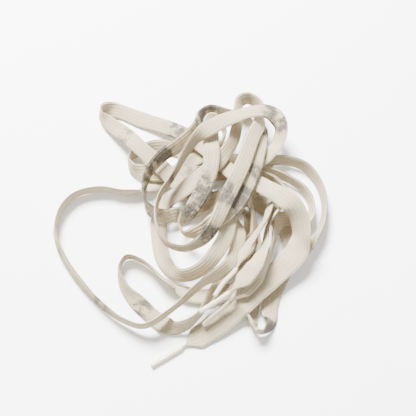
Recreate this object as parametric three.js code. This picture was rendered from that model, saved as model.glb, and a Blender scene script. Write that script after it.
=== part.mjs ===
import * as THREE from 'three';

// A pair of flat woven laces lying in one loose heap. Millimetres, +Z up, resting on z = 0.

// Driving dimensions.
const WIDTH = 9;
const WIDE_WIDTH = 13;
const THICKNESS = 1.8;
const TIP_WIDTH = 1.2;
const GATHER_LENGTH = 9;
const BARE_TIP = 1.5;
const AGLET_LENGTH = 19;
const AGLET_RADIUS = 1.3;
const BORE_RADIUS = 1.05;
const AGLET_SIDES = 10;
const WIDE_LENGTH = 115;
const NARROWING_LENGTH = 35;
const HEAP_CENTRE = [0.47, 0.5];

// How the routes are sampled and kept apart. Samples are pushed until CLEARANCE is left between their
// mid-planes. Strands cross above CROSSING_SINE, and are stacked if placed STACKED apart in height.
const SAMPLES_PER_SPAN = 4;
const SAMPLES_PER_RING = 2;
const CLEARANCE = 3.4;
const ROUNDS = 200;
const PUSH = 0.5;
const OWN_NEIGHBOUR = 14;
const CROSSING_SINE = 0.5;
const STACKED = 1;
const PATCH = 2.2;
const TOUCHING = 0.1;
const SMOOTHING_PASSES = 2;
const STIFFNESS = 0.3;

// Each route point is [x, y, z, lean]. Lean is how far the width is tipped from level, in degrees:
// positive when the left edge is the raised one, negative for the right, 90 when the lace is on edge.
const ROUTE_1 = [
  // Loose end, from the tip of its aglet, then the inner right-hand loop.
  [8, -56, 6, 0], [22, -45, 8, 0], [34, -34, 9, 20], [41, -24.5, 9.5, 70],
  [45, -13.5, 8, 80], [47.5, -4, 6, 70], [51, 3, 3.5, 30], [57, 4, 2.5, 0], [62.5, 2, 2.5, -15],
  [67, 4, 4.5, -65],
  [69, 12, 5, -78], [66, 20, 5, -78], [58, 27, 5, -80], [44, 33, 5, -75],
  [30, 34, 3, -30],
  // Level run to the left, a tight turn, and back underneath.
  [12, 32, 4.5, -12], [-8, 31, 4.5, -8], [-25, 32, 5, -30], [-33, 35, 5, -65],
  [-35, 41, 5, 90], [-30, 46, 5, 75], [-16, 49, 3.5, 40], [4, 45, 1, 0],
  [26, 41, 0.9, 0], [40, 39, 2.5, 50],
  // Outermost right-hand loop.
  [52, 40, 5, 75], [66, 36, 5, 76], [74, 25, 5, 77], [76, 10, 5, 79],
  [71, -6, 5, 75], [61, -16, 3, 20], [42, -29, 2.5, 5], [19, -38, 1.2, 0],
  [4, -39, 1.5, 15],
  // Oval loop at the lower left.
  [-11, -32, 4.5, 70], [-24, -21, 5, 88], [-34, -18, 5, 88], [-38, -24.5, 5, 85],
  [-35, -35, 4, 60], [-25.5, -45, 1.5, 20], [-14, -54.5, 1, 10], [-4, -57, 4, 60],
  [5.5, -51, 6, 80], [13, -38, 7, 70], [19, -29, 3, 20], [25, -21, 1.5, 10],
  [31, -13, 2.5, 20], [34, -6, 5, 65], [35, 7, 6, 70], [31, 20, 9.5, 30],
  // Arch across the top.
  [38, 34, 12, 5], [50, 46, 14, -38], [52, 56, 17, -45], [46, 63, 17, 0],
  [31, 61, 19, 20], [13, 52, 20, -10],
  // Big oval loop on top of the heap.
  [1.5, 42, 19, -70], [-9, 23, 18, -88], [-16.5, 11, 17, 90], [-17.5, -3, 17, 90],
  [-12, -14, 16, 89], [-1, -17.5, 16, 85], [11, -11, 18, 50], [21, 9, 20, 28],
  [29.5, 28, 22, 23], [35, 45, 20, 32],
  // Small hairpin behind the arch.
  [40, 59, 13, 45], [41, 71, 9, -75], [35, 77, 7, -70], [29, 73, 10, -60],
  [28, 64, 11, -50], [24, 46, 12, -48], [12, 31, 12, -15],
  // Wide flat leaf, then the C-shaped loop below it.
  [-3, 19, 9, 5], [-16, 9, 4.5, 5], [-17, -6, 2.5, 15], [-14, -20, 3, 30],
  [-4, -30, 6, 58], [9, -27, 9, 45], [19, -14, 9, 18], [24, 4, 8, 20],
  [35, 21, 7, 50], [45, 23, 5, 78], [49, 17, 5, 70], [45, 8, 9, 70],
  [41.5, -2, 10, 75], [32.5, -15, 11, 60], [25, -29, 12, 10],
  [19, -35, 11, 0], [14, -42, 9, 0],
];

const ROUTE_2 = [
  // Wide end lying flat in front, from the tip of its aglet, then up the right-hand side.
  [-19.5, -77, 1.3, 0], [-3, -67, 1.3, 0], [3, -63, 0.9, 0], [14, -56, 0.9, 0],
  [28, -45, 3.5, 0], [41, -33.5, 5.5, 0], [51.5, -24.5, 6.5, 0], [59, -16, 8, -15],
  [61, -8, 10, -50], [59, 1, 11.5, -45], [51, 10, 13, -20], [40, 19, 12.5, 0],
  [28, 26, 11, 5], [15, 39, 8.5, 2], [3, 51, 8, -8],
  // Top left loop.
  [-12, 60, 5, -16], [-31, 68, 2.2, -18], [-43, 73, 2.2, -20], [-51, 73.5, 4.5, -70],
  [-53, 69.5, 4.5, 75], [-47, 63, 4, 40], [-37, 53.5, 6.5, 22], [-27, 43, 9.5, 22],
  [-17, 34, 9, 10], [-4, 22, 6, 8], [13, 16, 4, 5], [30, 17, 4, 5],
  // Short strand down the right, and the small fold at the bottom right.
  [40, 12, 3, 10], [49, 4, 1, 5], [55, -5, 0.9, 0], [56, -16, 0.9, 0],
  [51, -27, 0.9, 0], [45, -39, 0.9, 0], [43, -48, 1.5, -15], [43.5, -55, 4, -60],
  [39, -59.5, 4.8, -85], [34.5, -57, 4.6, 88], [34, -49, 1.5, 20], [36, -32, 0.9, 0],
  [37, -14, 0.9, 0], [36, -1, 1, 5], [35, 8, 2.5, 40], [30, 12, 4.5, 90],
  [26, 7, 4, -60],
  // Down the middle and out to the long left-hand loop.
  [28, -6, 5.5, -28], [25, -18, 7, -25], [16, -29, 9.5, -55], [5, -37, 8, -78],
  [-9, -49, 7, -87], [-23, -57, 6, -86], [-34, -54, 5, -84], [-47, -45, 5, -76],
  [-61, -30, 5, -72], [-71, -15, 5, -72], [-75, -2, 5, -78], [-72, 11, 5, -83],
  [-64, 19, 5, -88], [-51, 22, 5, -88], [-34, 20, 5, -86], [-18, 26, 3, -15],
  // Back under the heap to a hairpin at the top, then the upright strand.
  [-1, 38, 3.5, -5], [12, 45, 5, -25], [20, 54, 9, -80], [17, 61, 13, -88],
  [12, 61, 14, -50], [12, 48, 15, -5], [12, 31, 15, -4], [8, 18, 13.5, -10],
  [1, 7, 10, -35], [-5, -1, 7.5, -80], [-2, -7, 6.5, -85], [7, -7, 8, 40],
  // Stained diagonal up the middle.
  [18, -1, 13, 25], [28, 10, 15.5, 15], [35, 26, 17, 12], [40, 44, 17.5, 22],
  [42, 58, 11, 30], [37, 69, 5, 50], [25, 70, 5, -85], [12, 71, 6, -68],
  [6.5, 66, 8, -68], [4, 56, 11, -60],
  // Left loop above the long one, and back to the right.
  [-5, 45, 13, -52], [-15, 37, 13.5, -60], [-23, 27, 13, -72], [-25, 16, 12, -82],
  [-21, 7, 10, 60], [-13, 4, 9, 55], [-3, 7, 6, 30], [12, 13, 6, 10],
  [27, 20, 6.5, 15], [38, 28, 6, 50], [46, 28, 5, 82], [52, 20, 5, 82],
  [53, 11, 6, 80], [48, 4, 7, 80], [43.5, -4, 8, 80], [42, -13.5, 8.5, 75],
  [38.5, -22.5, 11, 45], [33, -30.5, 12, 10], [22, -41, 12, 0], [6, -51, 10, 0],
];

const LACES = [
  { name: 'lace_1', route: ROUTE_1, startWidth: WIDTH },
  { name: 'lace_2', route: ROUTE_2, startWidth: WIDE_WIDTH },
];

const UP = new THREE.Vector3(0, 0, 1);
const clamp = THREE.MathUtils.clamp;

// Leans that differ by 180 degrees are the same, so each is taken as the one nearest the last.
function unwrapLeans(route) {
  const leans = route.map((point) => point[3]);
  for (let i = 1; i < leans.length; i += 1) {
    leans[i] -= 180 * Math.round((leans[i] - leans[i - 1]) / 180);
  }
  return leans;
}

// Points along a route on one smooth curve, each with its lean in radians.
function sampleRoute(route) {
  const [centreX, centreY] = HEAP_CENTRE;
  const points = route.map(([x, y, z]) => new THREE.Vector3(x - centreX, y - centreY, z));
  const curve = new THREE.CatmullRomCurve3(points, false, 'centripetal');
  const leans = unwrapLeans(route);
  const spans = route.length - 1;
  const samples = [];
  for (let i = 0; i <= spans * SAMPLES_PER_SPAN; i += 1) {
    const at = i / SAMPLES_PER_SPAN;
    const span = Math.min(Math.floor(at), spans - 1);
    const part = at - span;
    const ease = part * part * (3 - 2 * part);
    const lean = leans[span] + (leans[span + 1] - leans[span]) * ease;
    samples.push({ centre: curve.getPoint(at / spans), lean: THREE.MathUtils.degToRad(lean) });
  }
  return samples;
}

// Tangent, width direction and distance along the lace at every sample.
function updateFrames(samples) {
  let along = 0;
  samples.forEach((sample, i) => {
    const before = samples[Math.max(i - 1, 0)];
    const after = samples[Math.min(i + 1, samples.length - 1)];
    sample.tangent = after.centre.clone().sub(before.centre).normalize();
    const left = UP.clone().cross(sample.tangent).normalize();
    const raised = sample.tangent.clone().cross(left);
    left.multiplyScalar(Math.cos(sample.lean));
    sample.across = left.addScaledVector(raised, Math.sin(sample.lean));
    along += i > 0 ? sample.centre.distanceTo(before.centre) : 0;
    sample.along = along;
  });
}

// Width of a lace at a distance along it: gathered at both tips, and wide at the start if asked.
function widthAt(lace, along, total) {
  const fade = THREE.MathUtils.smoothstep(along, WIDE_LENGTH, WIDE_LENGTH + NARROWING_LENGTH);
  const full = lace.startWidth + (WIDTH - lace.startWidth) * fade;
  const pastAglet = Math.min(along, total - along) - AGLET_LENGTH - BARE_TIP;
  return TIP_WIDTH + (full - TIP_WIDTH) * THREE.MathUtils.smoothstep(pastAglet, 0, GATHER_LENGTH);
}

function thicknessAt(width) {
  return Math.min(THICKNESS, width);
}

// Shortest vector from b to a, each a flat patch as wide as the lace and PATCH to either side along it.
function gapBetween(a, b) {
  const offset = a.centre.clone().sub(b.centre);
  const cosine = a.across.dot(b.across);
  const onA = a.across.dot(offset);
  const onB = b.across.dot(offset);
  const square = Math.max(1 - cosine * cosine, 1e-6);
  const first = clamp((cosine * onB - onA) / square, -a.reach, a.reach);
  const t = clamp(cosine * first + onB, -b.reach, b.reach);
  const s = clamp(cosine * t - onA, -a.reach, a.reach);
  const gap = offset.addScaledVector(a.across, s).addScaledVector(b.across, -t);
  gap.addScaledVector(a.tangent, -clamp(gap.dot(a.tangent), -PATCH, PATCH));
  return gap.addScaledVector(b.tangent, -clamp(gap.dot(b.tangent), -PATCH, PATCH));
}

// Adds the push that moves two samples apart: up and down where their strands cross, touch, or were
// placed at different heights, else along the gap between them. The one placed higher stays above.
function pushApart(a, b) {
  const reach = a.reach + b.reach + CLEARANCE;
  const far = a.centre.distanceToSquared(b.centre) > reach * reach;
  const neighbours = a.lace === b.lace && Math.abs(a.along - b.along) < OWN_NEIGHBOUR;
  if (far || neighbours) {
    return;
  }
  const gap = gapBetween(a, b);
  const distance = gap.length();
  if (distance >= CLEARANCE) {
    return;
  }
  const crossing = a.tangent.clone().cross(b.tangent).length() > CROSSING_SINE;
  const stacked = Math.abs(a.start.z - b.start.z) > STACKED;
  const direction = crossing || stacked || distance < TOUCHING
    ? UP.clone().multiplyScalar(a.start.z >= b.start.z ? 1 : -1)
    : gap.divideScalar(distance);
  const amount = PUSH * (CLEARANCE - distance);
  a.push.addScaledVector(direction, amount);
  b.push.addScaledVector(direction, -amount);
  a.pushes += 1;
  b.pushes += 1;
}

function liftToFloor(sample) {
  const lowest = sample.centre.z - sample.reach * Math.abs(sample.across.z) - sample.halfThickness;
  sample.centre.z += Math.max(0, -lowest);
}

// Spreads each sample's whole move over its neighbours, so that a lace passes over another in a low hump.
function smoothMoves(samples, stiffness) {
  const moves = samples.map((sample) => sample.centre.clone().sub(sample.start));
  for (let i = 1; i < samples.length - 1; i += 1) {
    const around = moves[i - 1].clone().add(moves[i + 1]).divideScalar(2);
    samples[i].centre.copy(moves[i]).lerp(around, stiffness).add(samples[i].start);
  }
}

// Moves the strands apart until they clear each other and the floor. The laces are stiff at first and
// limp at the end.
function settle(laces) {
  const all = laces.flatMap((lace) => lace.samples);
  all.forEach((sample) => {
    sample.start = sample.centre.clone();
  });
  for (let round = 0; round < ROUNDS; round += 1) {
    laces.forEach((lace) => {
      updateFrames(lace.samples);
      const total = lace.samples.at(-1).along;
      lace.samples.forEach((sample) => {
        sample.lace = lace;
        sample.width = widthAt(lace, sample.along, total);
        sample.reach = (sample.width - thicknessAt(sample.width)) / 2;
        sample.halfThickness = sample.width > TIP_WIDTH ? THICKNESS / 2 : AGLET_RADIUS;
        sample.push = new THREE.Vector3();
        sample.pushes = 0;
      });
    });
    for (let i = 0; i < all.length; i += 1) {
      for (let j = i + 1; j < all.length; j += 1) {
        pushApart(all[i], all[j]);
      }
    }
    all.forEach((sample) => sample.centre.addScaledVector(sample.push, 1 / Math.max(sample.pushes, 1)));
    const stiffness = STIFFNESS * (1 - round / ROUNDS);
    laces.forEach((lace) => {
      for (let pass = 0; pass < SMOOTHING_PASSES; pass += 1) {
        smoothMoves(lace.samples, stiffness);
      }
    });
    all.forEach(liftToFloor);
  }
  laces.forEach((lace) => updateFrames(lace.samples));
}

// A stretch of a settled lace as a path: the section's x runs across the lace and its y through it.
class LacePath extends THREE.Curve {
  constructor(rings, scaleAt) {
    super();
    this.rings = rings;
    this.scaleAt = scaleAt;
  }

  getSpacedPoints() {
    return this.rings.map((ring) => ring.centre);
  }

  computeFrenetFrames() {
    const tangents = this.rings.map((ring) => ring.tangent);
    const normals = this.rings.map((ring) => ring.across.clone().multiplyScalar(this.scaleAt(ring)[0]));
    const binormals = this.rings.map((ring) => (
      ring.tangent.clone().cross(ring.across).multiplyScalar(this.scaleAt(ring)[1])
    ));
    return { tangents, normals, binormals };
  }
}

function sweep(section, rings, scaleAt, colour, roughness, name) {
  const extrudePath = new LacePath(rings, scaleAt);
  const geometry = new THREE.ExtrudeGeometry(section, {
    steps: rings.length - 1,
    extrudePath,
    curveSegments: AGLET_SIDES,
  });
  const material = new THREE.MeshStandardMaterial({ color: colour, roughness, metalness: 0 });
  const mesh = new THREE.Mesh(geometry, material);
  mesh.name = name;
  return mesh;
}

// Eight-sided section with thin rounded edges, one unit to each side.
function braidSection() {
  const corners = [
    [1, 0.45], [0.75, 1], [-0.75, 1], [-1, 0.45],
    [-1, -0.45], [-0.75, -1], [0.75, -1], [1, -0.45],
  ];
  return new THREE.Shape(corners.map(([x, y]) => new THREE.Vector2(x, y)));
}

function braidMesh(lace) {
  const rings = lace.samples.filter((sample, i) => i % SAMPLES_PER_RING === 0);
  const halfSize = (ring) => [ring.width / 2, thicknessAt(ring.width) / 2];
  return sweep(braidSection(), rings, halfSize, 0xe9e2d2, 0.95, `${lace.name}_braid`);
}

// Hollow sleeve round the rings at one end of the braid.
function agletMesh(rings, name) {
  const outline = new THREE.Shape().absarc(0, 0, AGLET_RADIUS, 0, Math.PI * 2);
  outline.holes.push(new THREE.Path().absarc(0, 0, BORE_RADIUS, 0, Math.PI * 2, true));
  return sweep(outline, rings, () => [1, 1], 0xf1eee4, 0.35, name);
}

const laces = LACES.map((lace) => ({ ...lace, samples: sampleRoute(lace.route) }));
settle(laces);

const group = new THREE.Group();
group.name = 'laces';
laces.forEach((lace) => {
  const inAglet = (from) => lace.samples.filter((sample) => Math.abs(sample.along - from) <= AGLET_LENGTH);
  group.add(braidMesh(lace));
  group.add(agletMesh(inAglet(0), `${lace.name}_aglet_start`));
  group.add(agletMesh(inAglet(lace.samples.at(-1).along), `${lace.name}_aglet_end`));
});

export default group;
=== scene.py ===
import math

import bpy
import numpy as np
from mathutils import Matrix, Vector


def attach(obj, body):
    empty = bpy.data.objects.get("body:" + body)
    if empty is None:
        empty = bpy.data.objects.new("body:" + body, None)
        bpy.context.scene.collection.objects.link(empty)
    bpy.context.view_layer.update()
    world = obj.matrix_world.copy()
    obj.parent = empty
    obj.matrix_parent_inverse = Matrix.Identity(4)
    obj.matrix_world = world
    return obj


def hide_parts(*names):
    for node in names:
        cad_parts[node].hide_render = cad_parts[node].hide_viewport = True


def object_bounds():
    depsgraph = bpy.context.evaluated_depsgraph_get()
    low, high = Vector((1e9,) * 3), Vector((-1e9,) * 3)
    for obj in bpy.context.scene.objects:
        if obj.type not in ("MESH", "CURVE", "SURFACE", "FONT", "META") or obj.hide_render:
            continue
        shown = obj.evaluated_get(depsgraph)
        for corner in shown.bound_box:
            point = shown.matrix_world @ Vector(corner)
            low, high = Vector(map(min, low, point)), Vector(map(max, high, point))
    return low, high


# A pair of flat woven laces in a loose heap, with a plastic aglet on each end. Metres, +Z up.

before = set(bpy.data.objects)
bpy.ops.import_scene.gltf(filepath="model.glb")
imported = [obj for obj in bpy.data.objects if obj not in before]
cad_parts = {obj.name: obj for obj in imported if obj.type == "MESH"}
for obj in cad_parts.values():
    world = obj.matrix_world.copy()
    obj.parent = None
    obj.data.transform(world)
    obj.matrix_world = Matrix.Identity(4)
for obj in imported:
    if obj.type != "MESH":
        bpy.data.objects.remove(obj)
cad_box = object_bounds()

MM = 0.001

# The camera looks down on the heap from the front.
CAMERA_ELEVATION = math.radians(70)
CAMERA_DISTANCE = 0.42
CAMERA_TARGET = (0.01, 0.0119, 0.0)
LENS_MM = 63.6

# Driving dimensions of the laces, in millimetres, as in the CAD.
WIDTH = 9
WIDE_WIDTH = 13
THICKNESS = 1.8
TIP_WIDTH = 1.2
GATHER_LENGTH = 9
BARE_TIP = 1.5
AGLET_LENGTH = 19
AGLET_RADIUS = 1.3
BORE_RADIUS = 1.05
WIDE_LENGTH = 115
NARROWING_LENGTH = 35
HEAP_CENTRE = (0.47, 0.5)

# How the routes are sampled and kept apart, as in the CAD.
SAMPLES_PER_SPAN = 4
CLEARANCE = 3.4
ROUNDS = 200
PUSH = 0.5
OWN_NEIGHBOUR = 14
CROSSING_SINE = 0.5
STACKED = 1
PATCH = 2.2
TOUCHING = 0.1
SMOOTHING_PASSES = 2
STIFFNESS = 0.3

# Detail of the braid. Rings are RING_STEP apart, taken from a curve of FINE_STEPS to each sample.
FINE_STEPS = 8
RING_STEP = 0.9
FACE_POINTS = 25
RIBS = 5
RIB_HEIGHT = 0.3
PLEAT_HEIGHT = 0.3
BUNCHED_THICKNESS = 0.25
YARN_PITCH = 0.75
COLUMN_PITCH = 0.9
UV_SCALE = 0.1

# Detail of an aglet.
AGLET_POINTS = 40
SEAM_HEIGHT = 0.09
SEAM_WIDTH = 0.12
RIM = 0.1
CRIMP_DEPTH = 0.05
CRIMP_SPACING = 1.7

# Each route point is (x, y, z, lean), in millimetres and degrees. Lean is how far the width is
# tipped from level: positive when the left edge is raised, negative for the right, 90 on edge.
ROUTE_1 = [
    # Loose end, from the tip of its aglet, then the inner right-hand loop.
    (8, -56, 6, 0), (22, -45, 8, 0), (34, -34, 9, 20), (41, -24.5, 9.5, 70),
    (45, -13.5, 8, 80), (47.5, -4, 6, 70), (51, 3, 3.5, 30), (57, 4, 2.5, 0), (62.5, 2, 2.5, -15),
    (67, 4, 4.5, -65),
    (69, 12, 5, -78), (66, 20, 5, -78), (58, 27, 5, -80), (44, 33, 5, -75),
    (30, 34, 3, -30),
    # Level run to the left, a tight turn, and back underneath.
    (12, 32, 4.5, -12), (-8, 31, 4.5, -8), (-25, 32, 5, -30), (-33, 35, 5, -65),
    (-35, 41, 5, 90), (-30, 46, 5, 75), (-16, 49, 3.5, 40), (4, 45, 1, 0),
    (26, 41, 0.9, 0), (40, 39, 2.5, 50),
    # Outermost right-hand loop.
    (52, 40, 5, 75), (66, 36, 5, 76), (74, 25, 5, 77), (76, 10, 5, 79),
    (71, -6, 5, 75), (61, -16, 3, 20), (42, -29, 2.5, 5), (19, -38, 1.2, 0),
    (4, -39, 1.5, 15),
    # Oval loop at the lower left.
    (-11, -32, 4.5, 70), (-24, -21, 5, 88), (-34, -18, 5, 88), (-38, -24.5, 5, 85),
    (-35, -35, 4, 60), (-25.5, -45, 1.5, 20), (-14, -54.5, 1, 10), (-4, -57, 4, 60),
    (5.5, -51, 6, 80), (13, -38, 7, 70), (19, -29, 3, 20), (25, -21, 1.5, 10),
    (31, -13, 2.5, 20), (34, -6, 5, 65), (35, 7, 6, 70), (31, 20, 9.5, 30),
    # Arch across the top.
    (38, 34, 12, 5), (50, 46, 14, -38), (52, 56, 17, -45), (46, 63, 17, 0),
    (31, 61, 19, 20), (13, 52, 20, -10),
    # Big oval loop on top of the heap.
    (1.5, 42, 19, -70), (-9, 23, 18, -88), (-16.5, 11, 17, 90), (-17.5, -3, 17, 90),
    (-12, -14, 16, 89), (-1, -17.5, 16, 85), (11, -11, 18, 50), (21, 9, 20, 28),
    (29.5, 28, 22, 23), (35, 45, 20, 32),
    # Small hairpin behind the arch.
    (40, 59, 13, 45), (41, 71, 9, -75), (35, 77, 7, -70), (29, 73, 10, -60),
    (28, 64, 11, -50), (24, 46, 12, -48), (12, 31, 12, -15),
    # Wide flat leaf, then the C-shaped loop below it.
    (-3, 19, 9, 5), (-16, 9, 4.5, 5), (-17, -6, 2.5, 15), (-14, -20, 3, 30),
    (-4, -30, 6, 58), (9, -27, 9, 45), (19, -14, 9, 18), (24, 4, 8, 20),
    (35, 21, 7, 50), (45, 23, 5, 78), (49, 17, 5, 70), (45, 8, 9, 70),
    (41.5, -2, 10, 75), (32.5, -15, 11, 60), (25, -29, 12, 10),
    (19, -35, 11, 0), (14, -42, 9, 0),
]

ROUTE_2 = [
    # Wide end lying flat in front, from the tip of its aglet, then up the right-hand side.
    (-19.5, -77, 1.3, 0), (-3, -67, 1.3, 0), (3, -63, 0.9, 0), (14, -56, 0.9, 0),
    (28, -45, 3.5, 0), (41, -33.5, 5.5, 0), (51.5, -24.5, 6.5, 0), (59, -16, 8, -15),
    (61, -8, 10, -50), (59, 1, 11.5, -45), (51, 10, 13, -20), (40, 19, 12.5, 0),
    (28, 26, 11, 5), (15, 39, 8.5, 2), (3, 51, 8, -8),
    # Top left loop.
    (-12, 60, 5, -16), (-31, 68, 2.2, -18), (-43, 73, 2.2, -20), (-51, 73.5, 4.5, -70),
    (-53, 69.5, 4.5, 75), (-47, 63, 4, 40), (-37, 53.5, 6.5, 22), (-27, 43, 9.5, 22),
    (-17, 34, 9, 10), (-4, 22, 6, 8), (13, 16, 4, 5), (30, 17, 4, 5),
    # Short strand down the right, and the small fold at the bottom right.
    (40, 12, 3, 10), (49, 4, 1, 5), (55, -5, 0.9, 0), (56, -16, 0.9, 0),
    (51, -27, 0.9, 0), (45, -39, 0.9, 0), (43, -48, 1.5, -15), (43.5, -55, 4, -60),
    (39, -59.5, 4.8, -85), (34.5, -57, 4.6, 88), (34, -49, 1.5, 20), (36, -32, 0.9, 0),
    (37, -14, 0.9, 0), (36, -1, 1, 5), (35, 8, 2.5, 40), (30, 12, 4.5, 90),
    (26, 7, 4, -60),
    # Down the middle and out to the long left-hand loop.
    (28, -6, 5.5, -28), (25, -18, 7, -25), (16, -29, 9.5, -55), (5, -37, 8, -78),
    (-9, -49, 7, -87), (-23, -57, 6, -86), (-34, -54, 5, -84), (-47, -45, 5, -76),
    (-61, -30, 5, -72), (-71, -15, 5, -72), (-75, -2, 5, -78), (-72, 11, 5, -83),
    (-64, 19, 5, -88), (-51, 22, 5, -88), (-34, 20, 5, -86), (-18, 26, 3, -15),
    # Back under the heap to a hairpin at the top, then the upright strand.
    (-1, 38, 3.5, -5), (12, 45, 5, -25), (20, 54, 9, -80), (17, 61, 13, -88),
    (12, 61, 14, -50), (12, 48, 15, -5), (12, 31, 15, -4), (8, 18, 13.5, -10),
    (1, 7, 10, -35), (-5, -1, 7.5, -80), (-2, -7, 6.5, -85), (7, -7, 8, 40),
    # Stained diagonal up the middle.
    (18, -1, 13, 25), (28, 10, 15.5, 15), (35, 26, 17, 12), (40, 44, 17.5, 22),
    (42, 58, 11, 30), (37, 69, 5, 50), (25, 70, 5, -85), (12, 71, 6, -68),
    (6.5, 66, 8, -68), (4, 56, 11, -60),
    # Left loop above the long one, and back to the right.
    (-5, 45, 13, -52), (-15, 37, 13.5, -60), (-23, 27, 13, -72), (-25, 16, 12, -82),
    (-21, 7, 10, 60), (-13, 4, 9, 55), (-3, 7, 6, 30), (12, 13, 6, 10),
    (27, 20, 6.5, 15), (38, 28, 6, 50), (46, 28, 5, 82), (52, 20, 5, 82),
    (53, 11, 6, 80), (48, 4, 7, 80), (43.5, -4, 8, 80), (42, -13.5, 8.5, 75),
    (38.5, -22.5, 11, 45), (33, -30.5, 12, 10), (22, -41, 12, 0), (6, -51, 10, 0),
]

# Stains and rust on each lace: (route point, reach along the lace in mm, strength). Points are
# counted from 1.
MARKS_1 = [
    (16.5, 6, 0.4), (40, 7, 0.5), (53, 6, 0.55), (54, 5, 0.55), (58, 6, 0.4), (63, 8, 0.55),
    (64, 8, 0.75),
]
MARKS_2 = [
    (15.7, 6, 0.7), (22, 6, 0.35), (35.3, 4, 1.0), (52, 7, 0.4), (54, 6, 0.35), (68, 9, 0.7),
    (69, 6, 0.75), (74, 9, 0.9), (75, 6, 0.6), (77, 8, 0.6), (80, 6, 0.7), (81, 6, 0.8),
    (82, 5, 0.5), (84, 8, 0.7), (85, 9, 0.6), (86, 7, 0.5), (87, 6, 0.45),
]
RUST_2 = [(83, 1.2, 0.35)]


# ---- camera ----

def make_camera():
    data = bpy.data.cameras.new("camera")
    data.lens = LENS_MM
    camera = bpy.data.objects.new("camera", data)
    bpy.context.collection.objects.link(camera)
    x, y, z = CAMERA_TARGET
    back = CAMERA_DISTANCE * math.cos(CAMERA_ELEVATION)
    rise = CAMERA_DISTANCE * math.sin(CAMERA_ELEVATION)
    camera.location = (x, y - back, z + rise)
    camera.rotation_euler = (math.pi / 2 - CAMERA_ELEVATION, 0, 0)
    bpy.context.scene.camera = camera


# ---- the routes, settled as in the CAD ----

def smoothstep(value, low, high):
    part = np.clip((value - low) / (high - low), 0, 1)
    return part * part * (3 - 2 * part)


def catmull_rom(points, per_span):
    """Points on a centripetal Catmull-Rom curve, per_span for each span, and one at the end."""
    first = 2 * points[0] - points[1]
    last = 2 * points[-1] - points[-2]
    p = np.vstack([first, points, last])
    gaps = np.sqrt(np.linalg.norm(np.diff(p, axis=0), axis=1))[:, None]
    d0, d1, d2 = gaps[:-2], gaps[1:-1], gaps[2:]
    p0, p1, p2, p3 = p[:-3], p[1:-2], p[2:-1], p[3:]
    start = ((p1 - p0) / d0 - (p2 - p0) / (d0 + d1) + (p2 - p1) / d1) * d1
    end = ((p2 - p1) / d1 - (p3 - p1) / (d1 + d2) + (p3 - p2) / d2) * d1
    rows = []
    for k in range(per_span):
        t = k / per_span
        rows.append(
            p1 + start * t
            + (-3 * p1 + 3 * p2 - 2 * start - end) * t ** 2
            + (2 * p1 - 2 * p2 + start + end) * t ** 3
        )
    inside = np.stack(rows, axis=1).reshape(-1, points.shape[1])
    return np.vstack([inside, points[-1]])


def unwrap_leans(leans):
    """Leans that differ by 180 degrees are the same, so each is taken as the one nearest the last."""
    leans = list(leans)
    for i in range(1, len(leans)):
        leans[i] -= 180 * math.floor((leans[i] - leans[i - 1]) / 180 + 0.5)
    return np.array(leans, dtype=float)


def sample_route(route):
    table = np.array(route, dtype=float)
    centres = catmull_rom(table[:, :3] - [*HEAP_CENTRE, 0], SAMPLES_PER_SPAN)
    leans = unwrap_leans(table[:, 3])
    at = np.arange(len(centres)) / SAMPLES_PER_SPAN
    span = np.minimum(at.astype(int), len(route) - 2)
    part = at - span
    ease = part * part * (3 - 2 * part)
    return centres, np.radians(leans[span] + (leans[span + 1] - leans[span]) * ease)


def unit(vectors):
    return vectors / np.linalg.norm(vectors, axis=1)[:, None]


def frames_of(centres, leans):
    """Tangent, width direction and distance along the lace at every sample."""
    before = np.vstack([centres[:1], centres[:-1]])
    after = np.vstack([centres[1:], centres[-1:]])
    tangent = unit(after - before)
    flat = np.zeros(len(centres))
    left = unit(np.stack([-tangent[:, 1], tangent[:, 0], flat], axis=1))
    raised = np.cross(tangent, left)
    across = left * np.cos(leans)[:, None] + raised * np.sin(leans)[:, None]
    steps = np.linalg.norm(np.diff(centres, axis=0), axis=1)
    return tangent, across, np.concatenate([[0], np.cumsum(steps)])


def width_at(start_width, along, total):
    fade = smoothstep(along, WIDE_LENGTH, WIDE_LENGTH + NARROWING_LENGTH)
    full = start_width + (WIDTH - start_width) * fade
    past_aglet = np.minimum(along, total - along) - AGLET_LENGTH - BARE_TIP
    return TIP_WIDTH + (full - TIP_WIDTH) * smoothstep(past_aglet, 0, GATHER_LENGTH)


def dot(a, b):
    return (a * b).sum(axis=1)


def gap_between(offset, across_a, across_b, tangent_a, tangent_b, reach_a, reach_b):
    """Shortest vector from b to a, each a flat patch as wide as the lace and PATCH to either side."""
    cosine = dot(across_a, across_b)
    on_a = dot(across_a, offset)
    on_b = dot(across_b, offset)
    square = np.maximum(1 - cosine * cosine, 1e-6)
    first = np.clip((cosine * on_b - on_a) / square, -reach_a, reach_a)
    t = np.clip(cosine * first + on_b, -reach_b, reach_b)
    s = np.clip(cosine * t - on_a, -reach_a, reach_a)
    gap = offset + across_a * s[:, None] - across_b * t[:, None]
    gap = gap - tangent_a * np.clip(dot(gap, tangent_a), -PATCH, PATCH)[:, None]
    return gap - tangent_b * np.clip(dot(gap, tangent_b), -PATCH, PATCH)[:, None]


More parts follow.
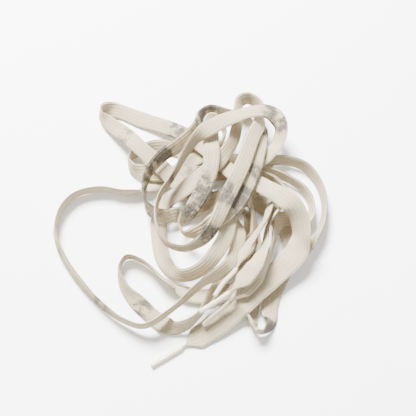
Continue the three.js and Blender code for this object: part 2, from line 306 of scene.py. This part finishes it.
def settle(laces):
    """Moves the strands of both laces apart until they clear each other and the floor."""
    centres = np.vstack([lace["centres"] for lace in laces])
    leans = np.concatenate([lace["leans"] for lace in laces])
    owner = np.repeat(np.arange(len(laces)), [len(lace["leans"]) for lace in laces])
    parts = [np.flatnonzero(owner == k) for k in range(len(laces))]
    start = centres.copy()
    first, second = np.triu_indices(len(centres), 1)
    for settling_round in range(ROUNDS):
        tangent = np.zeros_like(centres)
        across = np.zeros_like(centres)
        along = np.zeros(len(centres))
        width = np.zeros(len(centres))
        for lace, part in zip(laces, parts):
            tangent[part], across[part], along[part] = frames_of(centres[part], leans[part])
            width[part] = width_at(lace["start_width"], along[part], along[part][-1])
        reach = (width - np.minimum(THICKNESS, width)) / 2
        half_thickness = np.where(width > TIP_WIDTH, THICKNESS / 2, AGLET_RADIUS)

        offset = centres[first] - centres[second]
        near = dot(offset, offset) <= (reach[first] + reach[second] + CLEARANCE) ** 2
        apart = (owner[first] != owner[second]) | (np.abs(along[first] - along[second]) >= OWN_NEIGHBOUR)
        keep = near & apart
        i, j, offset = first[keep], second[keep], offset[keep]
        gap = gap_between(offset, across[i], across[j], tangent[i], tangent[j], reach[i], reach[j])
        distance = np.linalg.norm(gap, axis=1)
        close = distance < CLEARANCE
        i, j, gap, distance = i[close], j[close], gap[close], distance[close]
        sine = np.linalg.norm(np.cross(tangent[i], tangent[j]), axis=1)
        stacked = np.abs(start[i, 2] - start[j, 2]) > STACKED
        upright = (sine > CROSSING_SINE) | stacked | (distance < TOUCHING)
        direction = gap / np.maximum(distance, 1e-12)[:, None]
        sign = np.where(start[i, 2] >= start[j, 2], 1.0, -1.0)
        direction[upright] = np.stack([0 * sign, 0 * sign, sign], axis=1)[upright]
        amount = direction * (PUSH * (CLEARANCE - distance))[:, None]

        push = np.zeros_like(centres)
        pushes = np.zeros(len(centres))
        np.add.at(push, i, amount)
        np.add.at(push, j, -amount)
        np.add.at(pushes, i, 1)
        np.add.at(pushes, j, 1)
        centres += push / np.maximum(pushes, 1)[:, None]
        stiffness = STIFFNESS * (1 - settling_round / ROUNDS)
        for part in parts:
            for _ in range(SMOOTHING_PASSES):
                moves = centres[part] - start[part]
                around = (moves[:-2] + moves[2:]) / 2
                moves[1:-1] = moves[1:-1] + (around - moves[1:-1]) * stiffness
                centres[part] = start[part] + moves
        lowest = centres[:, 2] - reach * np.abs(across[:, 2]) - half_thickness
        centres[:, 2] += np.maximum(0, -lowest)
    for lace, part in zip(laces, parts):
        lace["centres"] = centres[part]


def refine(lace):
    """Rings about RING_STEP apart along the settled lace, with its lean at each."""
    table = np.column_stack([lace["centres"], lace["leans"]])
    fine = catmull_rom(table, FINE_STEPS)
    steps = np.linalg.norm(np.diff(fine[:, :3], axis=0), axis=1)
    reached = np.concatenate([[0], np.cumsum(steps)])
    total = reached[-1]
    wanted = np.linspace(0, total, round(total / RING_STEP) + 1)
    rings = np.column_stack([np.interp(wanted, reached, fine[:, k]) for k in range(4)])
    number = np.arange(len(fine)) / (FINE_STEPS * SAMPLES_PER_SPAN) + 1
    lace["rings"] = rings[:, :3]
    lace["point_number"] = np.interp(wanted, reached, number)
    lace["tangent"], lace["across"], lace["along"] = frames_of(rings[:, :3], rings[:, 3])
    lace["total"] = lace["along"][-1]
    lace["width"] = width_at(lace["start_width"], lace["along"], lace["total"])


# ---- meshes ----

def section_points():
    """Place across, from -1 to 1, and side, 1 for the upper face, round one ring."""
    upper = np.cos(np.linspace(math.pi, 0, FACE_POINTS))
    lower = upper[::-1][1:-1]
    across = np.concatenate([upper, lower])
    side = np.concatenate([np.ones(FACE_POINTS), -np.ones(FACE_POINTS - 2)])
    return across, side


def tube_faces(rings, around):
    """Quads between rings, and one face at each end."""
    ring = np.arange(rings - 1)[:, None] * around
    here = np.arange(around)
    after = (here + 1) % around
    quads = np.stack([ring + here, ring + after, ring + after + around, ring + here + around], axis=2)
    ends = [list(range(around))[::-1], list(range((rings - 1) * around, rings * around))]
    return quads.reshape(-1, 4).tolist() + ends


def new_piece(name, points, faces, material):
    mesh = bpy.data.meshes.new(name)
    mesh.from_pydata((points * MM).tolist(), [], faces)
    mesh.materials.append(material)
    mesh.polygons.foreach_set("use_smooth", [True] * len(mesh.polygons))
    mesh.update()
    piece = bpy.data.objects.new(name, mesh)
    bpy.context.collection.objects.link(piece)
    return piece


def add_uvs(mesh, uvs):
    """One UV for each vertex: place across and place along."""
    layer = mesh.uv_layers.new(name="lace")
    corners = np.zeros(len(mesh.loops), dtype=int)
    mesh.loops.foreach_get("vertex_index", corners)
    layer.data.foreach_set("uv", uvs[corners].ravel())


def add_values(mesh, name, values):
    attribute = mesh.attributes.new(name, "FLOAT", "POINT")
    attribute.data.foreach_set("value", values)


def marks_along(lace, marks):
    """How strongly each ring is marked."""
    strength = np.zeros(len(lace["rings"]))
    for point, reach, amount in marks:
        centre = np.interp(point, lace["point_number"], lace["along"])
        strength = np.maximum(strength, amount * np.exp(-((lace["along"] - centre) / reach) ** 2))
    return strength


def braid_piece(lace, material):
    """A flat tube with ribs along it, which bunches into pleats where it's gathered into an aglet."""
    across, side = section_points()
    width = lace["width"][:, None]
    gathered = 1 - smoothstep(width, TIP_WIDTH, WIDTH)
    bunching = 4 * gathered * (1 - gathered)
    half_thickness = np.minimum(THICKNESS, width) / 2 + BUNCHED_THICKNESS * bunching
    dome = (1 - np.abs(across) ** 5) ** 0.5
    ribs = 0.5 * (1 + np.cos(across * math.pi * RIBS)) * (1 - np.abs(across) ** 6)
    height = (RIB_HEIGHT + PLEAT_HEIGHT * bunching) * (1 - gathered * gathered)
    depth = side * (half_thickness * dome - height * (1 - ribs))
    waver = 1 + 0.025 * np.sin(lace["along"] / 7.3) + 0.02 * np.sin(lace["along"] / 2.9)
    place = across * width * waver[:, None] / 2
    through = np.cross(lace["tangent"], lace["across"])
    points = (
        lace["rings"][:, None, :]
        + lace["across"][:, None, :] * place[:, :, None]
        + through[:, None, :] * depth[:, :, None]
    )
    around = len(across)
    piece = new_piece(lace["name"], points.reshape(-1, 3), tube_faces(len(points), around), material)
    along = np.broadcast_to(lace["along"][:, None], place.shape)
    add_uvs(piece.data, np.stack([place, along], axis=2).reshape(-1, 2) * UV_SCALE)
    add_values(piece.data, "stain", np.repeat(marks_along(lace, lace["marks"]), around))
    add_values(piece.data, "rust", np.repeat(marks_along(lace, lace["rust"]), around))
    return piece


def aglet_piece(name, lace, at_end, material):
    """A rolled sleeve: outer and inner walls with rounded rims, and a seam where the film overlaps."""
    from_tip = lace["total"] - lace["along"] if at_end else lace["along"]
    chosen = np.flatnonzero(from_tip <= AGLET_LENGTH)
    rings = lace["rings"][chosen]
    side = lace["across"][chosen]
    through = np.cross(lace["tangent"][chosen], side)
    angles = np.linspace(0, 2 * math.pi, AGLET_POINTS, endpoint=False)
    seam = SEAM_HEIGHT * np.exp(-(np.minimum(angles, 0.5) / SEAM_WIDTH) ** 2)
    crimp = CRIMP_DEPTH * np.sin(lace["along"][chosen] / CRIMP_SPACING) ** 6

    def ring_row(index, radius):
        outward = np.outer(np.cos(angles), side[index]) + np.outer(np.sin(angles), through[index])
        return rings[index] + radius[:, None] * outward

    last = len(chosen) - 1
    rows = []
    for index in range(last + 1):
        rim = RIM if index in (0, last) else 0.0
        rows.append(ring_row(index, AGLET_RADIUS - rim - crimp[index] + seam))
    for index in range(last, -1, -1):
        rows.append(ring_row(index, np.full(AGLET_POINTS, BORE_RADIUS)))
    quads = tube_faces(len(rows), AGLET_POINTS)[:-2]
    start = (len(rows) - 1) * AGLET_POINTS
    for k in range(AGLET_POINTS):
        after = (k + 1) % AGLET_POINTS
        quads.append([start + k, start + after, after, k])
    return new_piece(name, np.vstack(rows), quads, material)


# ---- materials ----

class Nodes:
    """A short way to add nodes to one material."""

    def __init__(self, name):
        self.material = bpy.data.materials.new(name)
        self.material.use_nodes = True
        self.tree = self.material.node_tree
        self.shader = self.tree.nodes["Principled BSDF"]

    def add(self, kind, **settings):
        node = self.tree.nodes.new(kind)
        for key, value in settings.items():
            setattr(node, key, value)
        return node

    def link(self, source, target):
        self.tree.links.new(source, target)

    def math(self, operation, a, b=None):
        node = self.add("ShaderNodeMath", operation=operation)
        for socket, value in zip(node.inputs, (a, b)):
            if value is None:
                continue
            if isinstance(value, (int, float)):
                socket.default_value = value
            else:
                self.link(value, socket)
        return node.outputs[0]

    def noise(self, vector, scale, detail=3):
        node = self.add("ShaderNodeTexNoise")
        node.inputs["Scale"].default_value = scale
        node.inputs["Detail"].default_value = detail
        self.link(vector, node.inputs["Vector"])
        return node.outputs["Fac"]

    def fade(self, value, low, high):
        """0 below low, 1 above high, and smooth between."""
        node = self.add("ShaderNodeMapRange", interpolation_type="SMOOTHSTEP")
        node.inputs["From Min"].default_value = low
        node.inputs["From Max"].default_value = high
        self.link(value, node.inputs["Value"])
        return node.outputs["Result"]

    def mix(self, factor, a, b, blend="MIX"):
        node = self.add("ShaderNodeMix", data_type="RGBA", blend_type=blend)
        colours = [socket for socket in node.inputs if socket.type == "RGBA"]
        factor_socket = node.inputs[0]
        if isinstance(factor, (int, float)):
            factor_socket.default_value = factor
        else:
            self.link(factor, factor_socket)
        for socket, value in zip(colours, (a, b)):
            if isinstance(value, tuple):
                socket.default_value = (*value, 1)
            else:
                self.link(value, socket)
        return [socket for socket in node.outputs if socket.type == "RGBA"][0]

    def attribute(self, name):
        return self.add("ShaderNodeAttribute", attribute_name=name).outputs["Fac"]


CREAM = (0.535, 0.445, 0.28)
LIGHT_CREAM = (0.69, 0.61, 0.435)
# Dark brown for painted shade in the hollows of the weave.
GROOVE_SHADE = (0.17, 0.11, 0.055)
STAIN = (0.018, 0.017, 0.017)
TINT = (0.15, 0.135, 0.12)
FLECK = (0.05, 0.04, 0.035)
RUST = (0.36, 0.16, 0.06)
FILM = (0.50, 0.43, 0.285)


def braid_material():
    n = Nodes("braid")
    uv = n.add("ShaderNodeUVMap", uv_map="lace").outputs[0]
    position = n.add("ShaderNodeTexCoord").outputs["Object"]
    split = n.add("ShaderNodeSeparateXYZ")
    n.link(uv, split.inputs[0])
    across = n.math("MULTIPLY", split.outputs["X"], 1 / UV_SCALE)
    along = n.math("MULTIPLY", split.outputs["Y"], 1 / UV_SCALE)

    # Yarns slant one way in one column and the other way in the next, which makes a chevron.
    zigzag = n.math("PINGPONG", across, COLUMN_PITCH)
    slanted = n.math("ADD", along, zigzag)
    yarn = n.math("ABSOLUTE", n.math("SINE", n.math("MULTIPLY", slanted, math.pi / YARN_PITCH)))
    groove = n.math("ABSOLUTE", n.math("SINE", n.math("MULTIPLY", across, math.pi / COLUMN_PITCH)))
    weave = n.math("MULTIPLY", n.math("POWER", yarn, 0.6), n.math("POWER", groove, 0.5))
    fuzz = n.noise(position, 4200, 4)
    relief = n.math("ADD", weave, n.math("MULTIPLY", fuzz, 0.5))

    patches = n.noise(position, 45, 4)
    base = n.mix(patches, CREAM, LIGHT_CREAM)
    # The hollows between yarns and columns are darkened towards dark brown: painted shade in the recesses
    # of the weave.
    groove_shade = n.math("MULTIPLY", n.math("SUBTRACT", 1.0, weave), 0.85)
    shaded_weave = n.mix(groove_shade, base, GROOVE_SHADE)

    # A stain is a soft grey smudge, broken up by the yarn, with darker flecks where it is strongest.
    stain = n.attribute("stain")
    smudge = n.fade(n.math("ADD", n.noise(position, 230, 4), n.math("MULTIPLY", stain, 0.34)), 0.52, 0.72)
    grain = n.fade(n.noise(position, 2600, 3), 0.3, 0.7)
    held = n.math("MULTIPLY", smudge, n.math("ADD", n.math("MULTIPLY", grain, 0.45), 0.55))
    dirt = n.math("MULTIPLY", n.math("MINIMUM", n.math("MULTIPLY", stain, 2.2), 1.0), held)
    dirty = n.mix(dirt, shaded_weave, STAIN)
    tinted = n.mix(n.math("MULTIPLY", stain, 0.4), dirty, TINT)
    flecks = n.fade(n.math("ADD", n.noise(position, 900, 2), n.math("MULTIPLY", stain, 0.14)), 0.69, 0.75)
    speckled = n.mix(n.math("MULTIPLY", flecks, 0.85), tinted, FLECK)
    rusty = n.mix(n.attribute("rust"), speckled, RUST)
    n.link(rusty, n.shader.inputs["Base Color"])

    bump = n.add("ShaderNodeBump")
    bump.inputs["Strength"].default_value = 0.8
    bump.inputs["Distance"].default_value = 0.35 * MM
    n.link(relief, bump.inputs["Height"])
    n.link(bump.outputs[0], n.shader.inputs["Normal"])
    n.shader.inputs["Roughness"].default_value = 0.92
    n.shader.inputs["Sheen Weight"].default_value = 0.05
    n.shader.inputs["Sheen Roughness"].default_value = 0.5
    n.shader.inputs["Specular IOR Level"].default_value = 0.2
    return n.material


def aglet_material():
    n = Nodes("aglet")
    position = n.add("ShaderNodeTexCoord").outputs["Object"]
    clouds = n.noise(position, 160, 3)
    colour = n.mix(clouds, FILM, LIGHT_CREAM)
    n.link(colour, n.shader.inputs["Base Color"])
    bump = n.add("ShaderNodeBump")
    bump.inputs["Strength"].default_value = 0.25
    bump.inputs["Distance"].default_value = 0.1 * MM
    n.link(n.noise(position, 700, 2), bump.inputs["Height"])
    n.link(bump.outputs[0], n.shader.inputs["Normal"])
    n.shader.inputs["Roughness"].default_value = 0.3
    n.shader.inputs["Coat Weight"].default_value = 0.3
    n.shader.inputs["Coat Roughness"].default_value = 0.15
    return n.material


def floor_material():
    n = Nodes("floor")
    position = n.add("ShaderNodeTexCoord").outputs["Object"]
    colour = n.mix(n.noise(position, 3, 2), (0.94, 0.935, 0.935), (0.96, 0.955, 0.955))
    n.link(colour, n.shader.inputs["Base Color"])
    n.shader.inputs["Roughness"].default_value = 0.7
    n.shader.inputs["Specular IOR Level"].default_value = 0.2
    return n.material


# ---- floor and light ----

def make_floor():
    mesh = bpy.data.meshes.new("floor")
    size = 3
    corners = [(-size, -size, 0), (size, -size, 0), (size, size, 0), (-size, size, 0)]
    mesh.from_pydata(corners, [], [(0, 1, 2, 3)])
    mesh.materials.append(floor_material())
    floor = bpy.data.objects.new("floor", mesh)
    floor.location.z = cad_box[0][2]
    bpy.context.collection.objects.link(floor)


def area_light(name, location, size, energy):
    data = bpy.data.lights.new(name, "AREA")
    data.size = size
    data.energy = energy
    light = bpy.data.objects.new(name, data)
    light.location = location
    direction = -light.location
    light.rotation_euler = direction.to_track_quat("-Z", "Y").to_euler()
    bpy.context.collection.objects.link(light)


def make_light():
    area_light("key", (-0.25, 0.6, 0.9), 0.4, 112)
    area_light("fill", (0.3, -0.6, 1.1), 1.2, 9)
    world = bpy.data.worlds.new("world")
    world.use_nodes = True
    background = world.node_tree.nodes["Background"]
    background.inputs["Color"].default_value = (1, 1, 1, 1)
    background.inputs["Strength"].default_value = 0.66
    bpy.context.scene.world = world


# ---- the laces ----

make_camera()

laces = []
for name, route, start_width, marks, rust in (
    ("lace_1", ROUTE_1, WIDTH, MARKS_1, []),
    ("lace_2", ROUTE_2, WIDE_WIDTH, MARKS_2, RUST_2),
):
    centres, leans = sample_route(route)
    laces.append({
        "name": name, "centres": centres, "leans": leans,
        "start_width": start_width, "marks": marks, "rust": rust,
    })
settle(laces)

braid_look = braid_material()
aglet_look = aglet_material()
for lace in laces:
    refine(lace)
    name = lace["name"]
    braid = braid_piece(lace, braid_look)
    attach(braid, "root")
    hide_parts(f"{name}_braid")
    for end in ("start", "end"):
        aglet = aglet_piece(f"{name}_sleeve_{end}", lace, end == "end", aglet_look)
        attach(aglet, "root")
        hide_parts(f"{name}_aglet_{end}")

make_floor()
make_light()
